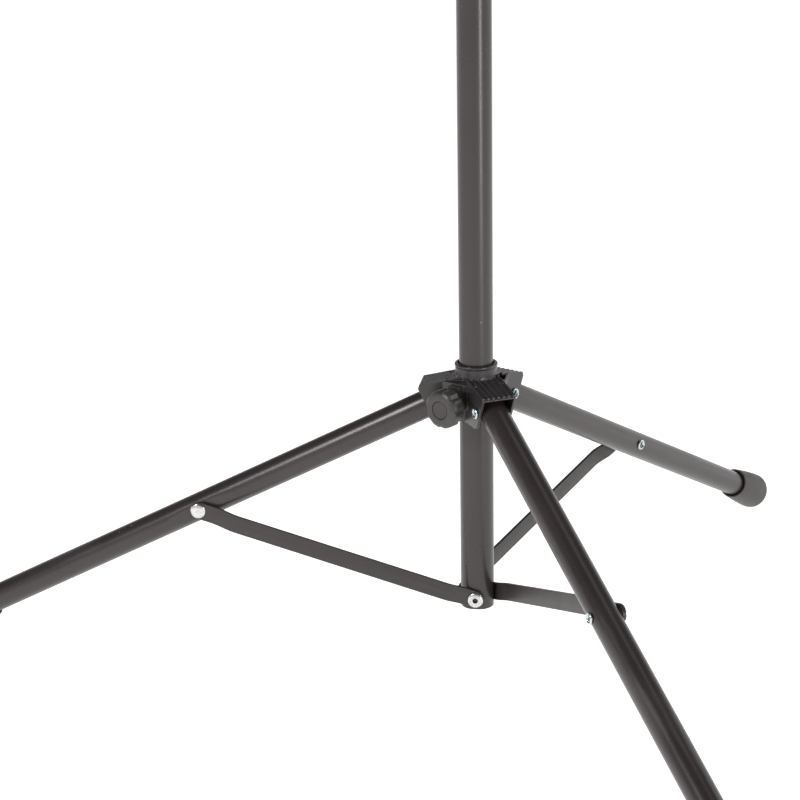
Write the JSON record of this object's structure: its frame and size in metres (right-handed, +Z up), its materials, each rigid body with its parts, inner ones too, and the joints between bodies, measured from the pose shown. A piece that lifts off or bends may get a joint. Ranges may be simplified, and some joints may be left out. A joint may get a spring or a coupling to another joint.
{
  "type": "speaker tripod stand",
  "caption": "Folding tripod stand for a loudspeaker: sliding cast hub, tube legs with flat braces and rubber feet, and a telescopic mast with clamp knobs.",
  "frame": {"origin": "middle of the footprint's bounding box, on the floor", "axes": "+Z up along the mast, -Y the way the clamp knobs face, one leg along +Y"},
  "size_m": [1.1304, 0.9848, 1.2097],
  "materials": {
    "tube_paint": "satin black powder coat on steel tube",
    "casting_paint": "satin black paint on die-cast aluminium",
    "brace_paint": "satin black paint on steel strip",
    "zinc": "bright zinc plating",
    "steel": "plain threaded steel",
    "knob_plastic": "moulded black nylon, satin",
    "cap_plastic": "moulded black plastic, fine matt",
    "rubber": "dark grey moulded rubber",
    "nylon": "black nylon"
  },
  "bodies": {
    "mast": {"lower_tube": "tube_paint", "mast_collar": "casting_paint", "mast_collar_bush": "nylon", "collar_rivet_right": "zinc", "collar_rivet_left": "zinc", "mast_rivet_rear": "zinc", "mast_rivet_left": "zinc", "mast_rivet_right": "zinc"},
    "upper_mast": {"upper_tube": "tube_paint", "top_cap": "cap_plastic", "upper_tube_plug": "nylon"},
    "mast_clamp_screw": {"mast_clamp_pad": "nylon"},
    "mast_clamp_handle": {"mast_clamp_knob": "knob_plastic", "mast_clamp_knob_cap": "cap_plastic", "mast_clamp_stud": "steel"},
    "hub": {"hub": "casting_paint", "hub_pivot_rear": "zinc", "hub_pivot_left": "zinc", "hub_pivot_right": "zinc"},
    "hub_clamp_screw": {"hub_clamp_pad": "nylon"},
    "hub_clamp_handle": {"hub_clamp_knob": "knob_plastic", "hub_clamp_knob_cap": "cap_plastic", "hub_clamp_stud": "steel"},
    "leg_rear": {"leg_tube_rear": "tube_paint", "leg_foot_rear": "rubber", "brace_washer_rear": "nylon", "brace_rivet_tail_rear": "zinc"},
    "brace_rear": {"brace_bar_rear": "brace_paint", "brace_rivet_head_rear": "zinc"},
    "leg_left": {"leg_tube_left": "tube_paint", "leg_foot_left": "rubber", "brace_washer_left": "nylon", "brace_rivet_tail_left": "zinc"},
    "brace_left": {"brace_bar_left": "brace_paint", "brace_rivet_head_left": "zinc"},
    "leg_right": {"leg_tube_right": "tube_paint", "leg_foot_right": "rubber", "brace_washer_right": "nylon", "brace_rivet_tail_right": "zinc"},
    "brace_right": {"brace_bar_right": "brace_paint", "brace_rivet_head_right": "zinc"}
  },
  "joints": [
    {"name": "hub_slide", "type": "slide", "parent": "mast", "child": "hub", "axis": [0, 0, 1], "range_m": [0, 0.406]},
    {"name": "mast_extend", "type": "slide", "parent": "mast", "child": "upper_mast", "axis": [0, 0, 1], "range_m": [0, 0.7]},
    {"name": "leg_fold_rear", "type": "hinge", "parent": "hub", "child": "leg_rear", "pos_m": [0, -0.10928, 0.3119], "axis": [-1, 0, 0], "range_deg": [0, 62.6]},
    {"name": "brace_fold_rear", "type": "hinge", "parent": "mast", "child": "brace_rear", "pos_m": [0, -0.15428, 0.0789], "axis": [1, 0, 0], "range_deg": [0, 64.7]},
    {"name": "leg_fold_left", "type": "hinge", "parent": "hub", "child": "leg_left", "pos_m": [-0.03897, -0.17678, 0.3119], "axis": [0.5, -0.866, 0], "range_deg": [0, 62.6]},
    {"name": "brace_fold_left", "type": "hinge", "parent": "mast", "child": "brace_left", "pos_m": [0, -0.15428, 0.0789], "axis": [-0.5, 0.866, 0], "range_deg": [0, 64.7]},
    {"name": "leg_fold_right", "type": "hinge", "parent": "hub", "child": "leg_right", "pos_m": [0.03897, -0.17678, 0.3119], "axis": [0.5, 0.866, 0], "range_deg": [0, 62.6]},
    {"name": "brace_fold_right", "type": "hinge", "parent": "mast", "child": "brace_right", "pos_m": [0, -0.15428, 0.0789], "axis": [-0.5, -0.866, 0], "range_deg": [0, 64.7]},
    {"name": "hub_clamp_travel", "type": "slide", "parent": "hub", "child": "hub_clamp_screw", "axis": [0, -1, 0], "range_m": [0, 0.00251]},
    {"name": "hub_clamp_turn", "type": "hinge", "parent": "hub_clamp_screw", "child": "hub_clamp_handle", "pos_m": [0, -0.20428, 0.3169], "axis": [0, -1, 0], "range_deg": [0, 720]},
    {"name": "mast_clamp_travel", "type": "slide", "parent": "mast", "child": "mast_clamp_screw", "axis": [0, -1, 0], "range_m": [0, 0.00251]},
    {"name": "mast_clamp_turn", "type": "hinge", "parent": "mast_clamp_screw", "child": "mast_clamp_handle", "pos_m": [0, -0.20428, 1.0859], "axis": [0, -1, 0], "range_deg": [0, 720]}
  ],
  "couplings": [
    {"joint": "leg_fold_rear", "follows": "hub_slide", "rad_per_m": 2.6905},
    {"joint": "brace_fold_rear", "follows": "hub_slide", "rad_per_m": 2.7801},
    {"joint": "leg_fold_left", "follows": "hub_slide", "rad_per_m": 2.6905},
    {"joint": "brace_fold_left", "follows": "hub_slide", "rad_per_m": 2.7801},
    {"joint": "leg_fold_right", "follows": "hub_slide", "rad_per_m": 2.6905},
    {"joint": "brace_fold_right", "follows": "hub_slide", "rad_per_m": 2.7801},
    {"joint": "hub_clamp_travel", "follows": "hub_clamp_turn", "m_per_rad": 0.00019894},
    {"joint": "mast_clamp_travel", "follows": "mast_clamp_turn", "m_per_rad": 0.00019894}
  ]
}
